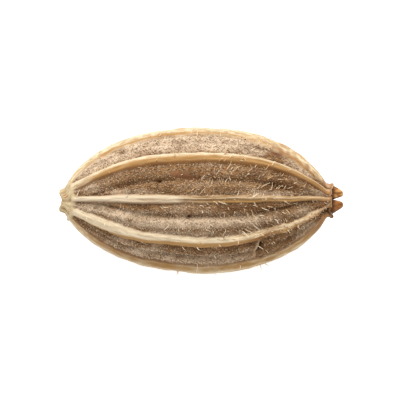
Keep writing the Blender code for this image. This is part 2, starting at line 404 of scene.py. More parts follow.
def cord_tones(x, edge, rib):
    """How golden, umber and ashen the cords are."""
    tones = np.stack(hidden_cord(x, edge))
    for number, tone in CORD_TONES.items():
        here = rib == number
        tones[:, here] = tone(x[here], edge[here])
    golden, umber, ashen = tones
    tipwards = 0.4 * TIP_GOLD[rib] * smoothstep(0.4, 2.2, x)
    golden = np.clip(golden + tipwards, 0.0, 1.0) * smoothstep(-2.4, -1.6, x)
    return golden, np.clip(umber, 0.0, 1.0), ashen


print(len(CORD_TONES), "cords with tones of their own,", RIBS - len(CORD_TONES), "alike")

# %% [markdown]
# ## Felt and furrows
# Between two cords lies a strip of felted skin. It has one furrow, with a soft swelling on
# either side, and sinks a little at the foot of a cord. A wide, shallow groove runs along
# both sides of the seed, where the two halves of the fruit meet. All of it is one sum of
# depths, so a furrow can be moved or deepened by one number.

# %% Relief of the felt
# For each strip of felt after a rib: where its furrow runs, and how deep it is
FURROW_PLACES = np.array([0.45, 0.48, 0.50, 0.46, 0.54, 0.50, 0.45, 0.50, 0.55, 0.62])
FURROW_DEPTHS = np.array([0.050, 0.008, 0.040, 0.050, 0.060, 0.050, 0.060, 0.040, 0.022, 0.052])
FELT_DEPTH = 0.080
FURROW_HALF_WIDTH = 0.055
SWELLING = 0.040
FOOT_DEPTH = 0.016
FOOT_HALF_WIDTH = 0.022
JOIN_DEPTH = 0.085           # the groove along both sides, where the fruit's halves meet
JOIN_HALF_WIDTH = math.radians(15)
BRINK_DEPTH = 0.035          # a gutter along the upper foot of the broad cord on the -Y side
BRINK_PLACE = -1.845 * PITCH
BRINK_HALF_WIDTH = 0.055


def furrow_place(sector, share):
    """Where the furrow runs in a strip of felt: 0 on its first rib, 1 on its second."""
    place = FURROW_PLACES[sector]
    towards_top = 0.26 * (1.0 - smoothstep(0.55, 0.95, share))
    place = np.where(sector == 0, place - towards_top, place)
    return np.where(sector == RIBS - 1, place + towards_top * 0.8, place)


def foot_of_cord(x, theta, off_centre, across, rib, half):
    """The crease at the foot of each cord, deeper on the -Y side; the felt is painted darker there
    as shade.
    """
    below = off_centre * np.where(np.cos(theta) > 0, 1.0, -1.0) < 0
    foot = bell(np.abs(across) - half, FOOT_HALF_WIDTH) * np.where(below, 1.0, 0.35)
    foot = foot * (1.0 - 0.6 * smoothstep(1.2, 1.9, -x))
    return foot * np.where((rib == TOP_RIB) | (rib == RAGGED_RIB), 0.5, 1.0)


def felt_relief(x, theta, share, reach, across, half, foot):
    """Depth of the felt below the crests in mm, its furrow and the gutter by a cord."""
    sector = np.floor(theta / PITCH).astype(int)
    furrow_theta = (sector + furrow_place(sector % RIBS, share)) * PITCH
    furrow = bell((theta - furrow_theta) * reach, FURROW_HALF_WIDTH)
    broken = np.stack([x, sector * 3.3, np.zeros(len(x))], axis=1)
    furrow = furrow * np.clip(0.75 + 0.55 * cloud(broken, 0.32), 0.15, 1.0)
    gap = np.abs(furrow_theta - np.round(theta / PITCH) * PITCH) * reach
    way = np.clip((np.abs(across) - half) / np.maximum(gap - half, 1e-3), 0.0, 1.0)
    swelling = np.sin(np.pi * way ** 1.3)
    join = JOIN_DEPTH * bell(np.abs(theta) - math.pi / 2, JOIN_HALF_WIDTH)
    brink = bell(theta - BRINK_PLACE, BRINK_HALF_WIDTH)
    felt = FELT_DEPTH + join - SWELLING * swelling + FOOT_DEPTH * foot + BRINK_DEPTH * brink
    return felt + FURROW_DEPTHS[sector % RIBS] * furrow, furrow, brink


print(f"felt: {FELT_DEPTH - SWELLING:.3f} mm below the crests where it swells most")

# %% [markdown]
# ## Cords and felt together
# Now the depth of the whole skin below the crests can be given. Besides the depth come masks,
# numbers that say what the skin is made of and where light and shade are painted into its colour,
# for the materials and the hairs. Working out both at once keeps every colour on the form that it
# belongs to.

# %% Relief of the skin
SEAM_DEPTH = 0.016           # the grooves on the flanks of the broad cords
CREASE_DEPTH = 0.026         # a dent along the top cord, near the stalk's end
FRAY_DEPTH = 0.035           # notches where the ragged cord frays
WORN_DEPTH = 0.011           # scuffs where the broad cord is worn


def relief(x, theta, share):
    """Depth below the crests in mm, masks that say what the skin is made of, and the rib."""
    rib = np.round(theta / PITCH).astype(int) % RIBS
    off_centre = theta - np.round(theta / PITCH) * PITCH
    reach = share * np.hypot(HALF_WIDTH * np.cos(theta), HALF_DEPTH * np.sin(theta))
    across = off_centre * reach
    line = np.stack([x, rib * 2.7, np.sign(across)], axis=1)
    ragged = (rib == RAGGED_RIB) * smoothstep(RAGGED_START_X, RAGGED_START_X + 0.3, x)
    worn = (rib == BROAD_RIB) * smoothstep(0.8, 1.2, x)
    half = cord_half_width(x, across, rib, line, ragged, worn)
    edge = across / half
    cord = np.clip(1.0 - edge ** 2, 0.0, 1.0) ** 0.7

    foot = foot_of_cord(x, theta, off_centre, across, rib, half)
    felt, furrow, brink = felt_relief(x, theta, share, reach, across, half, foot)
    seam = bell(np.abs(edge) - 0.55, 0.16) * ((rib == BROAD_RIB) | (rib == FAR_BROAD_RIB))
    crease = (rib == TOP_RIB) * bell(edge + 0.05, 0.32) * bell(x + 0.85, 0.42)
    depth = (1.0 - cord) * felt + SEAM_DEPTH * seam + CREASE_DEPTH * crease
    depth = depth + FRAY_DEPTH * ragged * np.abs(cloud(line, 0.045))
    scuffs = np.stack([x, 1.5 * across, line[:, 1]], axis=1)
    depth = depth + WORN_DEPTH * worn * cloud(scuffs, 0.055)

    split = split_band(x, across, rib)
    thread = split_threads(x, across)
    depth = depth * (1.0 - split) + split * (BAND_DEPTH - THREAD_HEIGHT * thread)
    bare = np.clip(cord * 1.6, 0.0, 1.0)
    rib_mask = bare * (1.0 - split) + split * thread
    golden, umber, ashen = cord_tones(x, edge, rib)
    # the furrow mask also paints shade: the felt is coloured darker along each furrow
    masks = {"rib": rib_mask, "furrow": furrow * (1.0 - rib_mask),
             # the foot mask, with the gutter by the broad cord, also paints shade: darker felt in
             # the creases
             "foot": np.maximum(foot, brink) * (1.0 - rib_mask), "edge": edge,
             # painted shade: browner and less ashen in the crease along the top cord
             "golden": golden, "umber": (umber + 0.35 * crease) * (1.0 - split),
             "ashen": ashen - 0.6 * crease,
             "ragged": ragged * bare, "groove": split * (1.0 - thread),
             "hairless": np.maximum(bare * (1.0 - split), split)}
    return depth, masks, rib


BELT_STEPS = 721
round_once = np.linspace(-math.pi, math.pi, BELT_STEPS)
belt_depth, _, _ = relief(np.zeros(BELT_STEPS), round_once, np.ones(BELT_STEPS))
print(f"relief half-way along: {belt_depth.max() - belt_depth.min():.3f} mm from crest to furrow")

# %% [markdown]
# ## Marks of this one seed
# Small accidents make it this seed and no other: pits in the furrows and by the collar, bald
# spots where the felt has rubbed off, and a cleft across the felt near the tip. A sculpting
# brush would do it too, but a list of places keeps each mark easy to move.

# %% Pits, bald spots and the cleft
# Pits: x, y, half-width, depth, in mm
PITS = ((-0.754, 0.362, 0.034, 0.085), (-0.225, -0.302, 0.030, 0.095),
        (1.366, 0.231, 0.030, 0.045), (2.170, -0.225, 0.050, 0.060),
        (2.250, -0.190, 0.055, 0.070))
# Bald spots: x, y, half-length, half-width
BALD = ((-0.440, 0.485, 0.120, 0.060), (-0.320, 0.440, 0.120, 0.050),
        (-0.075, 0.400, 0.100, 0.035), (1.330, 0.860, 0.130, 0.038))
CLEFT_X, CLEFT_Y = 1.055, -0.868
CLEFT_SLANT = 0.37
CRACK_DEPTH = 0.160
FLAP_HEIGHT = 0.030


def pits(x, y, top_side):
    """Depth of the pits in mm."""
    total = np.zeros(len(x))
    for px, py, size, depth in PITS:
        total += depth * bell(np.hypot(x - px, y - py), size) * top_side
    return total


def bald(x, y, top_side):
    """Where the felt has rubbed off, with a patchy edge."""
    total = np.zeros(len(x))
    for px, py, long, wide in BALD:
        total += bell(np.hypot((x - px) / long, (y - py) / wide), 1.0) * top_side
    patchy = cloud(np.stack([x, y, np.full(len(x), 6.0)], axis=1), 0.09)
    return smoothstep(0.35, 0.75, total + 0.35 * patchy)


def cleft(x, y, top_side):
    """A crack across the felt, leaning a little, with a lifted flap on the stalk's side."""
    off = x - CLEFT_X - (y - CLEFT_Y) * CLEFT_SLANT
    crack = bell(off, 0.052) * bell(y - CLEFT_Y, 0.11) * top_side
    flap = bell(off + 0.085, 0.038) * bell(y - CLEFT_Y, 0.17) * top_side
    return crack, flap


print(f"{len(PITS)} pits, {len(BALD)} bald spots and a cleft {CRACK_DEPTH:.2f} mm deep")

# %% [markdown]
# ## Shades of the felt
# Felt is pale where it swells, and its tone varies by chance. On top, the band along the +Y edge,
# which faces the light, is painted paler as light, and narrow strips just below the cords are
# painted darker as shade. On top, the shades are set with soft ovals, as a painter blocks in light
# and dark. Below, slow random clouds do, on slanted coordinates, so that no edge of the lattice
# shows.

# %% Shades of the felt
# Where the felt on top is paler (+) or darker (-), its own tone with painted light and shade: x, y,
# half-length, half-width, amount
PALE_AND_SHADED_SPOTS = ((-0.20, 1.06, 1.75, 0.15, 1.00), (-1.60, 0.68, 0.50, 0.18, 0.90),
          (-1.00, 0.88, 0.66, 0.12, 0.50), (-2.05, 0.50, 0.22, 0.14, 1.00),
          (0.15, 0.90, 0.75, 0.055, 0.25), (0.93, 0.87, 0.25, 0.06, 0.90),
          (1.38, 0.84, 0.24, 0.08, -0.60), (1.85, 0.55, 0.25, 0.15, 0.60),
          (-2.05, 0.22, 0.18, 0.10, 0.50), (-1.20, 0.14, 0.45, 0.08, 0.60),
          (-0.25, 0.42, 0.30, 0.14, -0.45), (-0.10, 0.17, 0.75, 0.08, -0.35),
          (0.40, 0.96, 0.32, 0.08, 0.50), (1.20, 0.48, 0.42, 0.15, -0.50),
          (1.38, 0.26, 0.36, 0.10, -0.90), (1.20, 0.12, 0.50, 0.07, 0.65),
          (2.02, 0.12, 0.22, 0.12, 0.70), (-1.95, -0.12, 0.30, 0.14, 0.70),
          (-1.20, -0.13, 0.50, 0.07, -0.60), (-1.30, -0.24, 0.45, 0.11, 0.80),
          (-0.30, -0.42, 1.25, 0.10, 1.00), (-0.20, -0.62, 1.30, 0.07, 0.70),
          (0.85, -0.13, 0.75, 0.08, -0.90), (0.80, -0.32, 0.52, 0.09, 0.55),
          (1.75, -0.22, 0.28, 0.12, 0.50), (2.20, -0.17, 0.15, 0.09, -1.20),
          (1.93, -0.48, 0.20, 0.12, 0.60), (0.10, -1.08, 1.15, 0.12, 0.70),
          (0.92, -0.93, 0.22, 0.10, 0.50), (-1.45, -0.76, 0.30, 0.10, 0.60),
          (-1.15, -0.92, 0.32, 0.08, 0.80), (1.75, -0.66, 0.20, 0.08, 0.50),
          (-1.65, 0.80, 0.20, 0.08, 0.50), (-0.62, 0.98, 0.16, 0.14, 0.50))
SLANT = np.array([[1.0, -0.6, 0.0], [0.6, 1.0, -0.5], [0.0, 0.5, 1.0]])


def paleness_and_shade(place, top_side):
    """How pale the felt is, from 0 to 1, painted light and shade included: by the list on top, and
    by chance elsewhere.
    """
    slanted = place @ SLANT
    below = smoothstep(0.1, -0.3, place[:, 2])
    shade = 0.36 + (1.0 - below) * (0.22 * cloud(place, 0.9) + 0.20 * cloud(place + 5.0, 0.22))
    shade += below * (0.16 * cloud(slanted, 0.9) + 0.12 * cloud(slanted + 5.0, 0.30))
    for px, py, long, wide, amount in PALE_AND_SHADED_SPOTS:
        off = np.hypot((place[:, 0] - px) / long, (place[:, 1] - py) / wide)
        shade += 0.55 * amount * np.exp(-off ** 4) * top_side
    return np.clip(shade, 0.0, 1.0)


print(len(PALE_AND_SHADED_SPOTS), "shades set by hand")

# %% [markdown]
# ## The broken stalk
# The stalk has snapped off and left a short, hollow stump. It is fluted lengthwise, a ledge
# runs round its foot, and on the -Y side one splinter is missing. A separate stump would need
# a seam to the skin, so it is the same skin with relief of its own.

# %% The stump
RING_X = STUMP_RIM_X + 0.105     # the ledge round the stump, further along on top
RING_BULGE = 0.085
LEDGE_DEPTH = 0.014
SPLINTER_X = STUMP_RIM_X + 0.125
SPLINTER_DEPTH = 0.040


def stump_form(x, angle):
    """The broken stalk: how far past its ledge a point lies, its flutes, and all its depth."""
    past = x - RING_X - RING_BULGE * np.cos(angle) ** 2
    smooth_part = 1.0 - smoothstep(-0.030, 0.010, past)
    grooved = np.stack([x, angle * 0.55, np.zeros(len(x))], axis=1)
    flute = 0.008 * np.cos(9 * angle + 0.6) + 0.007 * np.cos(17 * angle)
    flute = flute + 0.009 * cloud(grooved * (0.5, 1.0, 1.0), 0.06)
    flute = flute * smooth_part * smoothstep(STUMP_RIM_X - 0.01, STUMP_RIM_X + 0.03, x)
    splinter = np.hypot(x - SPLINTER_X, (angle + math.pi / 2) * 0.30)
    depth = flute - LEDGE_DEPTH * bell(past - 0.012, 0.020)
    return past, flute, depth - SPLINTER_DEPTH * bell(splinter, 0.014)


print(f"stump: {2 * STUMP_RADIUS:.2f} mm across, its ledge {RING_X - STUMP_RIM_X:.2f} mm on")

# %% [markdown]
# ## Crumbs, and masks for both ends
# Felt is crumbly at several sizes at once, which one noise can't show, so three are added. The
# stump and the collar get masks of their own, worked out from places on the seed, so that
# their colours stop where their forms do.

# %% Crumbs and end masks
def felt_roughness(place):
    """Crumbs in the felt at three sizes, in mm."""
    return 0.012 * cloud(place, 0.13) + 0.010 * cloud(place, 0.055) + 0.006 * cloud(place, 0.026)


def end_masks(x, place, ring, angle, past, flute, top_side, rib_mask):
    """What the skin is made of at both ends of the seed."""
    lip = smoothstep(COLLAR_X - 0.016, COLLAR_X, x) * smoothstep(-0.5, 0.3, cloud(ring + 8.0, 0.30))
    rust = top_side * bell(place[:, 1] - 0.070, 0.070) * bell(x - STUMP_RIM_X - 0.085, 0.060)
    # the flute mask is highest in the flutes' grooves, where the stump is painted darker as shade
    return {"stump": 1.0 - smoothstep(0.015, 0.050, past), "flute": flute / 0.015,
            "rust": rust * (0.6 + 0.4 * np.cos(26 * angle)),
            "tip": smoothstep(COLLAR_X - 0.34, COLLAR_X - 0.02, x),
            "collar": smoothstep(COLLAR_X - 0.080, COLLAR_X - 0.020, x) * (1.0 - 0.4 * rib_mask),
            "lip": lip, "shady": smoothstep(-0.10, -0.22, place[:, 1])}


crumbs = felt_roughness(np.random.default_rng(2).uniform(-1.0, 1.0, (1000, 3)))
print(f"crumbs: {crumbs.min():.3f} to {crumbs.max():.3f} mm")

# %% [markdown]
# ## The whole skin
# One function now sends any place on the path and any angle to its point in space. It starts
# from the smooth spindle, bends the stalk's end aside, breaks the rims unevenly, and presses
# the point in along the skin's outward direction by the depth of all relief.

# %% The skin
BOW = 0.022                  # the stalk's end is bent this far towards +Y
STUMP_LEAN = 0.026           # and the stump leans this far back
RIM_HOLLOW = 0.046           # how much further in the broken rim lies at the sides
RIM_RAGGED = 0.014
COLLAR_RAGGED = 0.030        # the collar's torn edge, along the seed
COLLAR_DENTS = 0.022         # and across it
UNEVENNESS = 0.011           # slow unevenness of the whole body
STRAND_UNIT = 0.35           # mm along a cord for one unit of its fibres' pattern


def skin(s, theta):
    """Points of the skin in mm at s along the path and theta round it, with their masks."""
    way, xs, radii, shares, normals_x, normals_r = PATH
    x, radius, relief_share, normal_x, normal_r = (
        np.interp(s, way, values) for values in (xs, radii, shares, normals_x, normals_r))
    share = radius / HALF_WIDTH
    ring = np.stack([x * 0.8, np.cos(theta), np.sin(theta)], axis=1)
    angle = rib_angle(theta, share) + sway(theta, x) + math.radians(0.8) * cloud(ring, 0.7) * share
    depth, masks, rib = relief(x, theta, share)

    past, flute, stump_depth = stump_form(x, angle)
    relief_share = relief_share * smoothstep(-0.02, 0.05, past)
    broken = 1.0 - smoothstep(STUMP_RIM_X + 0.01, STUMP_RIM_X + 0.06, x)
    rim = RIM_HOLLOW * np.sin(angle) ** 2 + RIM_RAGGED * cloud(ring + 3.0, 0.25)
    rim = rim * broken * smoothstep(0.06, 0.13, radius)
    collar = smoothstep(COLLAR_X - 0.05, COLLAR_X - 0.01, x)
    torn_edge = COLLAR_RAGGED * collar * cloud(ring + 6.0, 0.28)
    rim = rim - torn_edge * smoothstep(0.15, 0.25, radius)

    across = np.stack([np.sin(angle) / HALF_WIDTH, np.cos(angle) / HALF_DEPTH], axis=1)
    across /= np.linalg.norm(across, axis=1)[:, None]
    outward = np.stack([normal_x, normal_r * across[:, 0], normal_r * across[:, 1]], axis=1)
    lean = BOW * smoothstep(0.3, -1.2, x) - STUMP_LEAN * (1.0 - smoothstep(-2.4, -2.2, x))
    place = np.stack([x - rim, radius * np.sin(angle) + lean,
                      radius * HALF_DEPTH / HALF_WIDTH * np.cos(angle)], axis=1)

    top_side = place[:, 2] > 0
    spots = bald(x, place[:, 1], top_side)
    crack, flap = cleft(x, place[:, 1], top_side)
    holes = pits(x, place[:, 1], top_side)
    wool = (1.0 - masks["rib"]) * (1.0 - 0.8 * spots) * relief_share
    strand = np.stack([x / STRAND_UNIT, rib * 3.0 + masks["edge"] * 2.2, np.zeros(len(x))], axis=1)
    fibres = 0.011 * cloud(strand, 0.6) + 0.005 * cloud(strand * (2.0, 2.4, 1.0), 0.6)
    fibres = fibres * masks["rib"] * relief_share
    uneven = UNEVENNESS * (1.0 + cloud(place + 7.0, 0.65))
    depth = (relief_share * depth + share * uneven - wool * felt_roughness(place) - fibres
             + stump_depth + holes + CRACK_DEPTH * crack - FLAP_HEIGHT * flap
             - COLLAR_DENTS * collar * cloud(ring + 2.0, 0.26))
    masks.update(end_masks(x, place, ring, angle, past, flute, top_side, masks["rib"]))
    # the crack mask, pits included, paints shade: near black down in the cleft and the pits
    masks.update({"bald": spots, "crack": np.clip(crack + holes / 0.09, 0.0, 1.0),
                  "torn": crack + flap + holes / 0.05, "flap": flap, "strand": strand,
                  "pale": paleness_and_shade(place, top_side)})
    return place - outward * depth[:, None], masks


def to_frame(points):
    """From the seed's own axis, in mm, to the frame, in metres, flat where it rests."""
    moved = points + np.array([0.0, MIDDLE_Y, AXIS_Z])
    moved[:, 2] = np.maximum(moved[:, 2], 0.0)
    return moved * MM


belt, _ = skin(np.full(BELT_STEPS, 0.5), round_once)
print(f"skin half-way along: {np.ptp(belt[:, 1]):.2f} x {np.ptp(belt[:, 2]):.2f} mm")

# %% [markdown]
# ## The coat
# The skin starts as Blender's own UV sphere, which is closed and has a net of rings and
# columns. Each vertex is then sent to its place on the seed. The columns are drawn towards
# the ribs, where the form turns fastest. The masks travel along as attributes of the mesh,
# for the materials to read, so the colours follow the relief exactly.

# %% Make the coat
COLUMNS, RINGS = 400, 240
CROWDING = 0.35              # columns drawn towards the ribs
END_CROWDING = 0.55          # rings drawn towards the two ends
PAINTED = ("rib", "strand", "golden", "umber", "ashen", "groove", "furrow", "foot", "pale",
           "bald", "crack", "flap", "stump", "flute", "rust", "tip", "collar", "lip", "shady")


def send_sphere_to_seed(mesh):
    """Move a unit sphere's vertices onto the skin and return the masks."""
    co = np.empty(len(mesh.vertices) * 3)
    mesh.vertices.foreach_get("co", co)
    co = co.reshape(-1, 3)
    s = np.arccos(np.clip(-co[:, 2], -1.0, 1.0)) / math.pi
    s = s - END_CROWDING * np.sin(2 * math.pi * s) / (2 * math.pi)
    theta = np.arctan2(-co[:, 1], co[:, 0])
    theta = theta - CROWDING * np.sin(RIBS * theta) / RIBS
    points, masks = skin(s, theta)
    mesh.vertices.foreach_set("co", to_frame(points).ravel())
    return masks


def store(mesh, name, values):
    """Keep one number, or one vector, for each vertex."""
    kind = "FLOAT" if values.ndim == 1 else "FLOAT_VECTOR"
    layer = mesh.attributes.new(name, kind, "POINT")
    layer.data.foreach_set("value" if values.ndim == 1 else "vector", values.ravel())


def make_coat():
    """The whole skin as one closed mesh."""
    bm = bmesh.new()
    bmesh.ops.create_uvsphere(bm, u_segments=COLUMNS, v_segments=RINGS, radius=1.0)
    mesh = bpy.data.meshes.new("seed_coat")
    bm.to_mesh(mesh)
    bm.free()
    masks = send_sphere_to_seed(mesh)
    for name in PAINTED:
        store(mesh, name, masks[name])
    mesh.shade_smooth()
    coat = bpy.data.objects.new("seed_coat", mesh)
    bpy.context.scene.collection.objects.link(coat)
    return coat


coat = make_coat()
print("coat:", len(coat.data.polygons), "faces and", len(PAINTED), "masks")

# %% [markdown]
# ## The lobes at the tip
# Two dried lobes, the last of the flower, stand side by side in the collar. Each starts as a
# sphere, is drawn out into a blunt peg and then gets lengthwise wrinkles. They are a piece of
# their own, because they are smooth and russet where the coat is felted and tan.

# %% Make the lobes
LOBE_ROOT_X = high[0] - 0.350
LOBE_HALF_WIDTH = 0.172
LOBE_HALF_HEIGHT = 0.160
LOBE_TIP_SHARE = 0.34
# For each lobe: its place across the seed at the root and at the end
LOBES = ((0.172, 0.118), (-0.134, -0.074))


def make_lobes():
    """Both lobes as one mesh of two closed shells."""
    bm = bmesh.new()
    for root_y, end_y in LOBES:
        made = bmesh.ops.create_uvsphere(bm, u_segments=48, v_segments=40, radius=1.0)
        for vert in made["verts"]:
            along = (vert.co.z + 1.0) / 2
            turn = math.atan2(vert.co.y, vert.co.x)
            round_share = max(math.hypot(vert.co.x, vert.co.y), 1e-6)
            full = round_share ** -0.5 * (1.0 + (LOBE_TIP_SHARE - 1.0) * along)
            wrinkle = 1.0 + 0.10 * math.cos(6 * turn + 3 * along + 20 * root_y)
            wrinkle += 0.05 * math.cos(4 * turn - 5 * along) + 0.03 * math.cos(13 * turn)
            across = vert.co.x * full * wrinkle * LOBE_HALF_WIDTH
            up = vert.co.y * full * wrinkle * LOBE_HALF_HEIGHT
            x = LOBE_ROOT_X + (high[0] - LOBE_ROOT_X) * along
            y = root_y + (end_y - root_y) * along + across + MIDDLE_Y
            vert.co = (x * MM, y * MM, (AXIS_Z + up) * MM)
    mesh = bpy.data.meshes.new("tip_lobes")
    bm.to_mesh(mesh)
    bm.free()
    mesh.shade_smooth()
    lobes = bpy.data.objects.new("tip_lobes", mesh)
    bpy.context.scene.collection.objects.link(lobes)
    return lobes


lobes = make_lobes()
print("lobes:", len(lobes.data.polygons), "faces")

# %% [markdown]
# ## Hairs
# The felt is a nap of very short hairs, and longer bristles stand among them. Blender has hair
# curves, but real cones are kept by every export. One hair is a slim three-sided cone, cut
# across so that it can bend.

# %% One hair
def hair_mesh(joints, blunt):
    """One hair: a closed cone of unit height and radius, cut across into so many joints."""
    bm = bmesh.new()
    bmesh.ops.create_cone(bm, cap_ends=True, cap_tris=False, segments=3, radius1=1.0,
                          radius2=blunt, depth=1.0)
    bmesh.ops.translate(bm, verts=bm.verts, vec=(0.0, 0.0, 0.5))
    for joint in range(1, joints):
        everything = bm.verts[:] + bm.edges[:] + bm.faces[:]
        bmesh.ops.bisect_plane(bm, geom=everything, plane_co=(0.0, 0.0, joint / joints),
                               plane_no=(0.0, 0.0, 1.0))
    bmesh.ops.remove_doubles(bm, verts=bm.verts, dist=1e-4)
    bmesh.ops.triangulate(bm, faces=bm.faces)
    bmesh.ops.recalc_face_normals(bm, faces=bm.faces)
    mesh = bpy.data.meshes.new("one_hair")
    bm.to_mesh(mesh)
    bm.free()
    return mesh


example = hair_mesh(joints=2, blunt=0.3)
print("a hair of two joints has", len(example.polygons), "triangles")
bpy.data.meshes.remove(example)

# %% [markdown]
# ### Rooted in the skin
# A hair needs to know which way the skin faces where it stands. Two neighbouring points along
# the seed and two round it give that. Roots are drawn at random, evenly over the skin's area.

# %% Roots
def unit(vectors):
    """Rows of vectors, each made one long."""
    return vectors / np.maximum(np.linalg.norm(vectors, axis=1), 1e-9)[:, None]


def skin_frame(s, theta):
    """Points of the skin, the directions along it and round it, outward, and the masks."""
    step = 0.002             # share of the path
    turn = 0.008             # radians
    points, masks = skin(s, theta)
    along = unit(skin(s + step, theta)[0] - skin(s - step, theta)[0])
    round_it = unit(skin(s, theta + turn)[0] - skin(s, theta - turn)[0])
    outward = unit(np.cross(round_it, along))
    flip = np.sum(outward * points * (0.2, 1.0, 1.0), axis=1) < 0
    outward[flip] *= -1.0
    return points, along, round_it, outward, masks


def scatter(rng, tries):
    """Random places on the skin, evenly spread over its area."""
    s = rng.random(tries)
    theta = rng.uniform(-math.pi, math.pi, tries)
    radius = np.interp(s, PATH[0], PATH[2])
    keep = rng.random(tries) < radius / HALF_WIDTH
    x = np.interp(s, PATH[0], PATH[1])
    body = (x > STUMP_RIM_X + 0.20) & (x < COLLAR_X - 0.06)
    return s[keep & body], theta[keep & body]


trial_roots, _ = scatter(np.random.default_rng(1), 10000)
print(f"of 10000 draws {len(trial_roots)} take root on the body")

# %% [markdown]
# ### Growing a crop
# The one hair is duplicated, then the two are, then the four, until there are thousands in one
# mesh, which is much lighter than thousands of objects. Then every copy's vertices are moved
# at once, so that each hair has its own root, lean, bend and length. No hair may reach the
# table, or stand far outside the frame's box.

# %% Grow a crop of hairs
ROOM = 0.022                 # hair ends may stand this share of a side outside the frame
CLEARANCE = 0.012            # no hair comes nearer to the table than this, in mm


def inside(roots, direction, bend, length):
    """Which hairs end neither too far outside the frame's box nor in the table."""
    lift = np.array([0.0, MIDDLE_Y, AXIS_Z])
    ends = roots + (direction + bend) * length[:, None] + lift
    above = np.minimum(ends[:, 2], (roots + lift)[:, 2]) > low[2] + CLEARANCE
    spare = (high - low) * ROOM
    return above & np.all((ends > low - spare) & (ends < high + spare), axis=1)


def crop_mesh(name, hair, count):
    """A mesh of so many copies of one hair, all still in one place."""
    sizes = len(hair.vertices), len(hair.edges), len(hair.polygons)
    bm = bmesh.new()
    bm.from_mesh(hair)
    made = 1
    while made < count:
        more = min(made, count - made)
        verts, edges, faces = (more * size for size in sizes)
        bmesh.ops.duplicate(bm, geom=bm.verts[:verts] + bm.edges[:edges] + bm.faces[:faces])
        made += more
    mesh = bpy.data.meshes.new(name)
    bm.to_mesh(mesh)
    bm.free()
    return mesh


def grow(name, joints, blunt, roots, direction, bend, length, thickness, tint):
    """Join one hair for each root. Lengths in mm; bend is a sideways reach at the tip."""
    hair = hair_mesh(joints, blunt)
    verts = np.array([vert.co for vert in hair.vertices])
    mesh = crop_mesh(name, hair, len(roots))
    bpy.data.meshes.remove(hair)
    side = unit(np.cross(direction, bend + 1e-6))
    front = unit(np.cross(side, direction))
    t = verts[:, 2]
    spine = (roots[:, None] + direction[:, None] * (t[None, :, None] * length[:, None, None])
             + bend[:, None] * (t[None, :, None] ** 2 * length[:, None, None]))
    body = side[:, None] * verts[None, :, 0, None] + front[:, None] * verts[None, :, 1, None]
    points = to_frame((spine + body * thickness[:, None, None] / 2).reshape(-1, 3))
    mesh.vertices.foreach_set("co", points.ravel())
    mesh.update()
    store(mesh, "tint", np.repeat(tint, len(verts)))
    store(mesh, "tipward", np.tile(t, len(roots)))
    mesh.shade_smooth()
    piece = bpy.data.objects.new(name, mesh)
    bpy.context.scene.collection.objects.link(piece)
    print(f"{name}: {len(roots)} hairs, {len(mesh.polygons)} triangles")
    return piece


print(f"hair ends may stand {WIDTH * ROOM:.3f} mm outside each side")

# %% [markdown]
# ### The nap
# The felt has two kinds of hair: stout blunt ones, hardly longer than they are thick, which
# stipple it, and a down of finer, longer ones. Both lean outwards from the middle of the seed
# and towards the tip. They are left off the ribs, the bald spots and the torn places. Real
# ones are a third as thick and far more: these are drawn as coarse as they need to show.

# %% The nap
def make_nap(name, seed, limit, joints, blunt, lengths, thicknesses, upright):
    """A crop of felt hairs with lengths and thicknesses in mm, at most limit of them."""
    rng = np.random.default_rng(seed)
    s, theta = scatter(rng, limit * 3)
    points, along, _, outward, masks = skin_frame(s, theta)
    keep = (masks["hairless"] < 0.55 * rng.random(len(s)) ** 2 + 0.05)
    keep &= (masks["bald"] < 0.30) & (masks["torn"] < 0.25)
    bare_tip = smoothstep(1.7, 2.2, points[:, 0])
    keep &= rng.random(len(s)) < (0.90 - 0.15 * masks["pale"]) * (1.0 - 0.7 * bare_tip)
    keep &= np.cumsum(keep) <= limit
    points, along, outward = (a[keep] for a in (points, along, outward))
    pale = masks["pale"][keep]
    count = len(points)
    side_on = smoothstep(0.80, 0.25, outward[:, 2])
    away = np.sign(points[:, 1])[:, None] * np.array([0.0, 1.0, 0.0])
    swirl = rng.normal(0.0, 0.5, (count, 3))
    direction = unit(outward * (upright - 0.35 * side_on)[:, None] + along * 0.50
                     + away * (0.45 * (1.0 - side_on))[:, None] + swirl)
    bend = along * 0.15 + rng.normal(0.0, 0.12, (count, 3))
    length = rng.uniform(*lengths, count) * (1.0 - 0.45 * side_on)
    thickness = rng.uniform(*thicknesses, count)
    spread = 0.70 - 0.15 * smoothstep(-0.5, 0.8, points[:, 0])
    # the felt's paleness, painted light and shade included, also tints its hairs
    tint = spread * (rng.random(count) - 0.5) + 0.65 * pale + 0.15
    tipward_tint = 0.15 * bare_tip[keep] + 0.10 * smoothstep(0.8, 1.4, points[:, 0])
    tint = np.clip(tint - tipward_tint, 0.0, 1.0)
    fits = inside(points, direction, bend, length)
    roots = points - outward * 0.004
    crop = (roots, direction, bend, length, thickness, tint)
    return grow(name, joints, blunt, *(a[fits] for a in crop))


nap = make_nap("felt_nap", seed=23, limit=24900, joints=1, blunt=0.55,
               lengths=(0.022, 0.042), thicknesses=(0.017, 0.025), upright=1.6)
down = make_nap("felt_down", seed=29, limit=1500, joints=2, blunt=0.0,
                lengths=(0.045, 0.080), thicknesses=(0.013, 0.018), upright=0.80)

# %% [markdown]
# ### Bristles
# The bristles are two or three times as long, pale and curved. Most stand on the half towards
# the tip, in the strips on both sides of the rib on top. Each is bent on its own, because
# bristles that all curve alike would look combed.

# %% Bristles
BRISTLES = 380


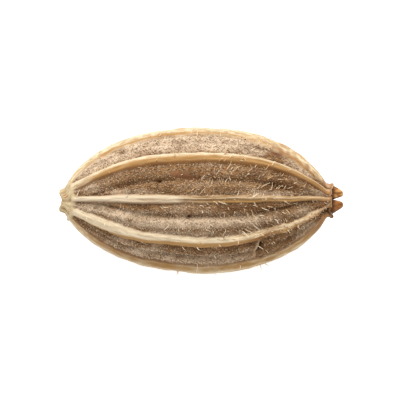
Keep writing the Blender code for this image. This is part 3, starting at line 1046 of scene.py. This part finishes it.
def make_bristles():
    """The long hairs, drawn at random where the strips carry them."""
    rng = np.random.default_rng(8)
    s, theta = scatter(rng, 12000)
    points, along, _, outward, _ = skin_frame(s, theta)
    tipwards = smoothstep(-0.9, 0.7, points[:, 0])
    tipwards = tipwards * smoothstep(1.75, 1.0, points[:, 0])
    near_top = 0.20 + 0.80 * smoothstep(1.10, 0.80, np.abs(theta) / PITCH)
    near_top = near_top * (1.0 - 0.85 * smoothstep(0.2, -0.6, outward[:, 2]))
    near_top = near_top * (1.0 - 0.35 * smoothstep(0.0, -0.3, points[:, 1]))
    keep = rng.random(len(s)) < (0.07 + 0.93 * tipwards) * near_top * 0.5
    keep &= np.cumsum(keep) <= BRISTLES
    points, along, outward = (a[keep] for a in (points, along, outward))
    count = len(points)
    away = np.sign(points[:, 1])[:, None] * np.array([0.0, 1.0, 0.0])
    direction = unit(outward * rng.uniform(0.3, 1.5, count)[:, None] + along * 0.60
                     + away * 0.65 + rng.normal(0.0, 0.14, (count, 3)))
    bend = along * rng.uniform(-0.6, 0.4, count)[:, None] + rng.normal(0.0, 0.22, (count, 3))
    length = rng.gamma(4.5, 0.018, count).clip(0.04, 0.16)
    thickness = rng.uniform(0.019, 0.027, count)
    fits = inside(points, direction, bend, length)
    roots = points - outward * 0.006
    crop = (roots, direction, bend, length, thickness, rng.random(count))
    return grow("bristles", 7, 0.35, *(a[fits] for a in crop))


bristles = make_bristles()

# %% [markdown]
# ### Fringe
# Along the cords, short stiff fibres have come loose. They are thickest where the rib on the
# -Y side frays. Without them the cords would look moulded.

# %% Fringe
def make_fringe():
    """Loose fibres along the edges of the cords."""
    rng = np.random.default_rng(41)
    s, theta = scatter(rng, 60000)
    points, along, round_it, outward, masks = skin_frame(s, theta)
    edge = masks["edge"]
    on_edge = bell(np.abs(edge) - 0.95, 0.30)
    rib = np.round(theta / PITCH).astype(int) % RIBS
    frayed = (rib == RAGGED_RIB) * smoothstep(-0.6, 0.4, points[:, 0]) * (edge > 0)
    frayed = np.maximum(frayed, 1.5 * masks["ragged"])
    split = (rib == 0) * smoothstep(0.2, 0.8, points[:, 0]) * 0.35
    keep = rng.random(len(s)) < 0.35 * np.maximum(on_edge * (0.10 + frayed + split),
                                                  masks["ragged"])
    points, along, round_it, outward = (a[keep] for a in (points, along, round_it, outward))
    count = len(points)
    side = np.sign(edge[keep])[:, None] * round_it
    direction = unit(outward * 0.45 + along * rng.uniform(-0.2, 1.0, count)[:, None]
                     + side * 0.5 + rng.normal(0.0, 0.35, (count, 3)))
    bend = along * 0.3 + rng.normal(0.0, 0.3, (count, 3))
    length = rng.uniform(0.035, 0.095, count)
    thickness = rng.uniform(0.014, 0.024, count)
    fits = inside(points, direction, bend, length)
    roots = points - outward * 0.006
    crop = (roots, direction, bend, length, thickness, rng.random(count))
    return grow("rib_fringe", 4, 0.0, *(a[fits] for a in crop))


fringe = make_fringe()

# %% [markdown]
# ## Colours and nodes
# Colours are given as the hex values that a painter would mix. Blender's shaders work on linear
# light, so one function turns hex into linear. Another adds any node, and glaze lays one colour
# over another, as a painter glazes, where a mask or a pattern says.

# %% Colour helper and node helper
def linear(hex_colour):
    """sRGB hex to linear RGBA."""
    channels = [int(hex_colour[i:i + 2], 16) / 255 for i in (1, 3, 5)]
    return (*[c / 12.92 if c <= 0.04045 else ((c + 0.055) / 1.055) ** 2.4
              for c in channels], 1.0)


def add_node(tree, kind, settings=None, links=None):
    """Add a node. settings names properties or sockets, links names sockets to join."""
    node = tree.nodes.new(kind)
    for name, value in (settings or {}).items():
        if isinstance(name, str) and hasattr(node, name):
            setattr(node, name, value)
        else:
            node.inputs[name].default_value = value
    for name, source in (links or {}).items():
        tree.links.new(source, node.inputs[name])
    return node


def new_material(name):
    """An empty material and its node tree."""
    material = bpy.data.materials.new(name)
    material.use_nodes = True
    tree = material.node_tree
    tree.nodes.clear()
    return material, tree


def glaze(tree, under, cover, where, start=0.0, end=1.0, most=1.0):
    """Lay a colour over another where a mask or a pattern runs from start to end."""
    if isinstance(where, str):
        where = add_node(tree, "ShaderNodeAttribute", {"attribute_name": where}).outputs["Fac"]
    amount = add_node(tree, "ShaderNodeMapRange",
                      {"interpolation_type": "SMOOTHSTEP", "From Min": start, "From Max": end,
                       "To Max": most}, {"Value": where}).outputs["Result"]
    layer = add_node(tree, "ShaderNodeMix", {"data_type": "RGBA"}, {0: amount})
    for socket, colour in ((6, under), (7, cover)):
        if isinstance(colour, str):
            layer.inputs[socket].default_value = linear(colour)
        else:
            tree.links.new(colour, layer.inputs[socket])
    return layer.outputs[2]


print("straw in linear light:", ", ".join(f"{c:.3f}" for c in linear("#C4A67C")[:3]))

# %% [markdown]
# ## The felt's colours
# Felt is brown skin seen through pale hairs, greyish tan where it is thick. It is darker in the
# hollows, along the furrows and at the foot of each cord, which is painted shade. Noise at two
# real sizes breaks up each colour: clumps of hairs 0.11 mm across, and single hair roots. The
# roots are really half as big as the 0.032 mm here, which is as fine as still shows.

# %% Felt
CLUMP = 0.11                 # mm
HAIR_ROOT = 0.032            # mm


def felt_colour(tree, clumps, roots):
    """Brown skin, paler where the felt is thick or light is painted, and darker in its hollows, as
    painted shade.
    """
    felt = glaze(tree, "#764B24", "#88613A", clumps, 0.35, 0.68)
    felt = glaze(tree, felt, "#A4825A", roots, 0.42, 0.66)
    # painted light and shade: the pale mask lightens the band that faces the light and darkens
    # strips below the cords
    felt = glaze(tree, felt, "#DEC6A9", "pale", 0.30, 1.0, 0.88)
    felt = glaze(tree, felt, "#8C6A46", roots, 0.50, 0.36, 0.32)
    # painted shade in part: darkest where the felt is least pale
    felt = glaze(tree, felt, "#4A2C13", "pale", 0.25, 0.0, 0.60)
    # painted shade: the felt darkens along the bottom of each furrow
    felt = glaze(tree, felt, "#623E1E", "furrow", 0.2, 1.0, 0.30)
    # painted shade: darker in the crease at the foot of each cord, most on its -Y side, away from
    # the light, and in the gutter by the broad cord on the -Y side
    felt = glaze(tree, felt, "#6A431F", "foot", 0.2, 1.0, 0.50)
    felt = glaze(tree, felt, "#7A4A30", "bald", 0.0, 1.0, 0.60)
    return glaze(tree, felt, "#744A2A", "tip", 0.0, 1.0, 0.75)


print(f"felt noise: clumps of {CLUMP} mm, roots of {HAIR_ROOT} mm")

# %% [markdown]
# ## The cords' colours
# The cords are dry, straw-coloured fibre. Their noise follows the strand attribute, which runs
# along each cord, so the fibres bend with it. A noise cell is 0.16 mm long for the strands and
# 0.058 mm for the thin dark fibres between them. Gold, umber and ash then go on by their masks.

# %% Cords
STRAND_LENGTH = 0.16         # mm
THIN_FIBRE_LENGTH = 0.058    # mm


def cord_colour(tree, grain, thin_grain, roots):
    """Straw fibres, bleached, golden or bruised by cord, and browner at the tip."""
    cord = glaze(tree, "#C4A67C", "#E5D3B1", grain, 0.36, 0.62)
    cord = glaze(tree, cord, "#B08C60", thin_grain, 0.50, 0.68, 0.5)
    cord = glaze(tree, cord, "#B8986F", roots, 0.55, 0.68, 0.4)
    cord = glaze(tree, cord, "#DCCCB0", "ashen", 0.0, 1.0, 0.80)
    cord = glaze(tree, cord, "#AA7A3C", "golden", 0.0, 1.0, 0.85)
    cord = glaze(tree, cord, "#8E6036", "umber", 0.1, 1.0, 0.8)
    return glaze(tree, cord, "#B07F55", "tip", 0.3, 1.0, 0.5)


print(f"cord noise: {STRAND_LENGTH} mm and {THIN_FIBRE_LENGTH} mm along the fibres")

# %% [markdown]
# ## The ends' colours
# The stump is bare, bleached wood, darker down in its flutes, which is painted shade, and has
# one rusty stain. The collar is brown, darker on its shady side, with a thin pale lip where it
# has torn.

# %% Stump and collar
def stump_colour(tree, clumps, roots):
    """Bleached wood, darker in the flutes' grooves as painted shade, and a rusty stain."""
    stump = glaze(tree, "#B69F78", "#D3C09A", clumps, 0.35, 0.65)
    # painted shade: darker down in the flutes' grooves
    stump = glaze(tree, stump, "#8E6C46", "flute", 0.1, 0.9, 0.8)
    stump = glaze(tree, stump, "#C49A78", roots, 0.50, 0.66, 0.5)
    return glaze(tree, stump, "#A26E38", "rust", 0.10, 0.8, 0.85)


def collar_colour(tree):
    """Brown, darker on the shady side, with a pale torn lip."""
    collar = glaze(tree, "#8C623A", "#64401F", "shady")
    return glaze(tree, collar, "#DDB994", "lip", 0.2, 1.0, 0.85)


print(f"bare ends: x below {RING_X:.2f} mm and above {COLLAR_X:.2f} mm")

# %% [markdown]
# ## The husk
# The husk of a dried fruit is dull and woody, with no gloss, so it is rough, with the low
# shine of dry plant skin. All its colours come together in one material: the masks carry it
# from felt to cord without a seam. A little bump from the two finest noises roughens it.

# %% Husk material
BUMP_HEIGHT = 0.008          # mm


def husk_material():
    # Dry, woody plant skin: tan felt that swallows light, between dull straw cords whose
    # fibres catch it a little
    material, tree = new_material("dry_cumin_husk")
    where = add_node(tree, "ShaderNodeTexCoord").outputs["Object"]
    clumps = add_node(tree, "ShaderNodeTexNoise",
                      {"Scale": 1.0 / (CLUMP * MM), "Detail": 3.0, "Roughness": 0.6},
                      {"Vector": where}).outputs["Fac"]
    roots = add_node(tree, "ShaderNodeTexNoise",
                     {"Scale": 1.0 / (HAIR_ROOT * MM), "Detail": 3.0, "Roughness": 0.6},
                     {"Vector": where}).outputs["Fac"]
    strand = add_node(tree, "ShaderNodeAttribute", {"attribute_name": "strand"})
    grain = add_node(tree, "ShaderNodeTexNoise",
                     {"Scale": STRAND_UNIT / STRAND_LENGTH, "Detail": 3.0},
                     {"Vector": strand.outputs["Vector"]}).outputs["Fac"]
    thin_grain = add_node(tree, "ShaderNodeTexNoise",
                          {"Scale": STRAND_UNIT / THIN_FIBRE_LENGTH, "Detail": 2.0},
                          {"Vector": strand.outputs["Vector"]}).outputs["Fac"]
    cord = cord_colour(tree, grain, thin_grain, roots)
    colour = glaze(tree, felt_colour(tree, clumps, roots), cord, "rib")
    groove = glaze(tree, "#8F6A40", "#C29454", "golden", 0.3, 0.8)
    colour = glaze(tree, colour, groove, "groove", 0.2, 0.9, 0.8)
    colour = glaze(tree, colour, stump_colour(tree, clumps, roots), "stump")
    colour = glaze(tree, colour, collar_colour(tree), "collar")
    # painted shade: near black down in the cleft and in the pits
    colour = glaze(tree, colour, "#38251A", "crack", 0.1, 0.9)
    colour = glaze(tree, colour, "#CDB18C", "flap", 0.2, 1.0, 0.85)
    height = add_node(tree, "ShaderNodeMath", {"operation": "ADD"}, {0: roots, 1: grain})
    bump = add_node(tree, "ShaderNodeBump", {"Strength": 0.35, "Distance": BUMP_HEIGHT * MM},
                    {"Height": height.outputs[0]})
    shader = add_node(tree, "ShaderNodeBsdfPrincipled",
                      {"Roughness": 0.78, "IOR": 1.45, "Specular IOR Level": 0.3},
                      {"Base Color": colour, "Normal": bump.outputs["Normal"]})
    add_node(tree, "ShaderNodeOutputMaterial", None, {"Surface": shader.outputs["BSDF"]})
    print("husk:", len(tree.nodes), "nodes")
    return material


coat.data.materials.append(husk_material())

# %% [markdown]
# ## Hairs
# Dry hairs are pale, hollow and slightly shiny, and darker where they leave the skin, which is
# painted shade. Each hair has its own tint, which the mesh carries, so that no two neighbours are
# quite alike.

# %% Hair materials
def hair_material(name, dull, pale):
    """Dry plant hair, from its dull to its pale tint."""
    material, tree = new_material(name)
    colour = glaze(tree, dull, pale, "tint")
    # painted shade: each hair darkens towards its root
    colour = glaze(tree, colour, "#85582C", "tipward", 0.5, 0.0, 0.35)
    shader = add_node(tree, "ShaderNodeBsdfPrincipled",
                      {"Roughness": 0.6, "IOR": 1.5, "Specular IOR Level": 0.3},
                      {"Base Color": colour})
    add_node(tree, "ShaderNodeOutputMaterial", None, {"Surface": shader.outputs["BSDF"]})
    print(f"{name}: from {dull} to {pale}")
    return material


# Short felt hair: brown to cream, which gives the eye a soft, stippled nap
felt_hair = hair_material("dry_felt_hair", "#8E653D", "#EBD7B9")
nap.data.materials.append(felt_hair)
down.data.materials.append(felt_hair)
# Stiff bristle: nearly white where the light strikes it, so that each stands out by itself
bristles.data.materials.append(hair_material("dry_bristle", "#E9C290", "#FFEBCB"))
# Loose fibre of a cord: straw like the cord, which softens its edge
fringe.data.materials.append(hair_material("loose_rib_fibre", "#D0A878", "#F6E0C0"))

# %% [markdown]
# ## Lobes
# The lobes are shrivelled petals' bases, the darkest part: russet with paler wrinkles, darker on
# the -Y side and down in the collar, which is painted shade. The wrinkles run along the lobe, so
# their noise is drawn out along X.

# %% Lobe material
WRINKLE = 0.05               # mm across a wrinkle


def lobe_material():
    # Shrivelled flower skin: russet and waxy-dull, with paler streaks on the wrinkles' crests
    material, tree = new_material("dried_flower_lobe")
    where = add_node(tree, "ShaderNodeTexCoord").outputs["Object"]
    drawn_out = add_node(tree, "ShaderNodeMapping", {"Scale": (0.25, 1.0, 1.0)},
                         {"Vector": where}).outputs["Vector"]
    streaks = add_node(tree, "ShaderNodeTexNoise",
                       {"Scale": 1.0 / (WRINKLE * MM), "Detail": 3.0},
                       {"Vector": drawn_out}).outputs["Fac"]
    place = add_node(tree, "ShaderNodeSeparateXYZ", None, {"Vector": where}).outputs
    colour = glaze(tree, "#8C5628", "#CC985A", streaks, 0.38, 0.64)
    # painted shade: darker towards -Y, the side away from the light
    colour = glaze(tree, colour, "#7E4818", place["Y"], 0.02 * MM, -0.06 * MM, 0.75)
    # painted shade: dark at the roots, down in the collar
    root = COLLAR_X * MM
    colour = glaze(tree, colour, "#54331B", place["X"], root + 0.07 * MM, root + 0.01 * MM, 0.85)
    shader = add_node(tree, "ShaderNodeBsdfPrincipled",
                      {"Roughness": 0.7, "IOR": 1.45, "Specular IOR Level": 0.3},
                      {"Base Color": colour})
    add_node(tree, "ShaderNodeOutputMaterial", None, {"Surface": shader.outputs["BSDF"]})
    print("lobes:", len(tree.nodes), "nodes")
    return material


lobes.data.materials.append(lobe_material())

# %% [markdown]
# ## On the frame
# The seed is one rigid body, so every piece rides on the same one. The coat, the lobes and
# the hairs together stand for the plain solid, which is then hidden.

# %% Ride and replace
for piece in (coat, lobes, nap, down, bristles, fringe):
    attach(piece, "root")
    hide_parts("seed")
    print(piece.name, "rides on root and stands for the seed")

# %% [markdown]
# ## The table
# The seed lies on a white lit table, such as small goods are shown on: the table gives off a
# little light of its own, so that no hard shadow is left. It lies a hair's breadth below the
# seed, so that the two faces don't flicker.

# %% Table
TABLE_SIDE = 1.0             # metres
TABLE_GAP = 2e-6             # metres


def make_table():
    """A flat sheet under the seed."""
    bm = bmesh.new()
    bmesh.ops.create_grid(bm, x_segments=1, y_segments=1, size=TABLE_SIDE / 2)
    bmesh.ops.translate(bm, verts=bm.verts, vec=(0.0, 0.0, -TABLE_GAP))
    mesh = bpy.data.meshes.new("lit_table")
    bm.to_mesh(mesh)
    bm.free()
    # Opal acrylic, matt and lit from below: an even white that holds only a faint shadow
    material, tree = new_material("matt_opal_acrylic")
    shader = add_node(tree, "ShaderNodeBsdfPrincipled",
                      {"Base Color": linear("#E7E7E7"), "Roughness": 0.9,
                       "Emission Color": linear("#FFFFFF"), "Emission Strength": 0.62})
    add_node(tree, "ShaderNodeOutputMaterial", None, {"Surface": shader.outputs["BSDF"]})
    mesh.materials.append(material)
    table = bpy.data.objects.new("lit_table", mesh)
    bpy.context.scene.collection.objects.link(table)
    return table


table = make_table()
print(f"table: {table.dimensions.x:.1f} m square")

# %% [markdown]
# ## Light
# One large soft light stands to the +Y side and above, like a window. The white surroundings
# fill the shadows, so that the hollows stay readable.

# %% Light
def make_light(name, place_mm, size_mm, power):
    """A round soft light that faces the seed."""
    data = bpy.data.lights.new(name, "AREA")
    data.shape = "DISK"
    data.size = size_mm * MM
    data.energy = power
    light = bpy.data.objects.new(name, data)
    light.location = [v * MM for v in place_mm]
    toward = -light.location
    light.rotation_euler = toward.to_track_quat("-Z", "Y").to_euler()
    bpy.context.scene.collection.objects.link(light)
    print(f"{name}: {toward.length / MM:.0f} mm away, {size_mm:.0f} mm across, {power} W")


def make_world(strength):
    """White surroundings."""
    world = bpy.data.worlds.new("studio")
    bpy.context.scene.world = world
    world.use_nodes = True
    background = world.node_tree.nodes["Background"]
    background.inputs["Color"].default_value = linear("#FFFFFF")
    background.inputs["Strength"].default_value = strength
    print("surroundings:", strength)


make_light("window", (-4.0, 38.0, 34.0), 30.0, 0.020)
make_world(0.74)
bpy.context.scene.view_settings.view_transform = "Standard"

# %% [markdown]
# ## Camera
# The camera looks straight down through a long lens, which shows a small thing without
# swelling its middle. Its distance follows from how much of the table it has to take in.

# %% Camera
FRAME_WIDTH = 1.4116 * LENGTH
LENS = 300.0                 # mm


def make_camera():
    """A camera above the seed, a touch off its middle."""
    data = bpy.data.cameras.new("camera")
    data.lens = LENS
    distance = FRAME_WIDTH * MM * LENS / data.sensor_width
    data.clip_start = distance * 0.2
    data.clip_end = 10.0
    camera = bpy.data.objects.new("camera", data)
    camera.location = (-0.0053 * LENGTH * MM, 0.0018 * LENGTH * MM, AXIS_Z * MM + distance)
    bpy.context.scene.collection.objects.link(camera)
    bpy.context.scene.camera = camera
    print(f"camera: {distance / MM:.0f} mm above the seed's axis")


make_camera()
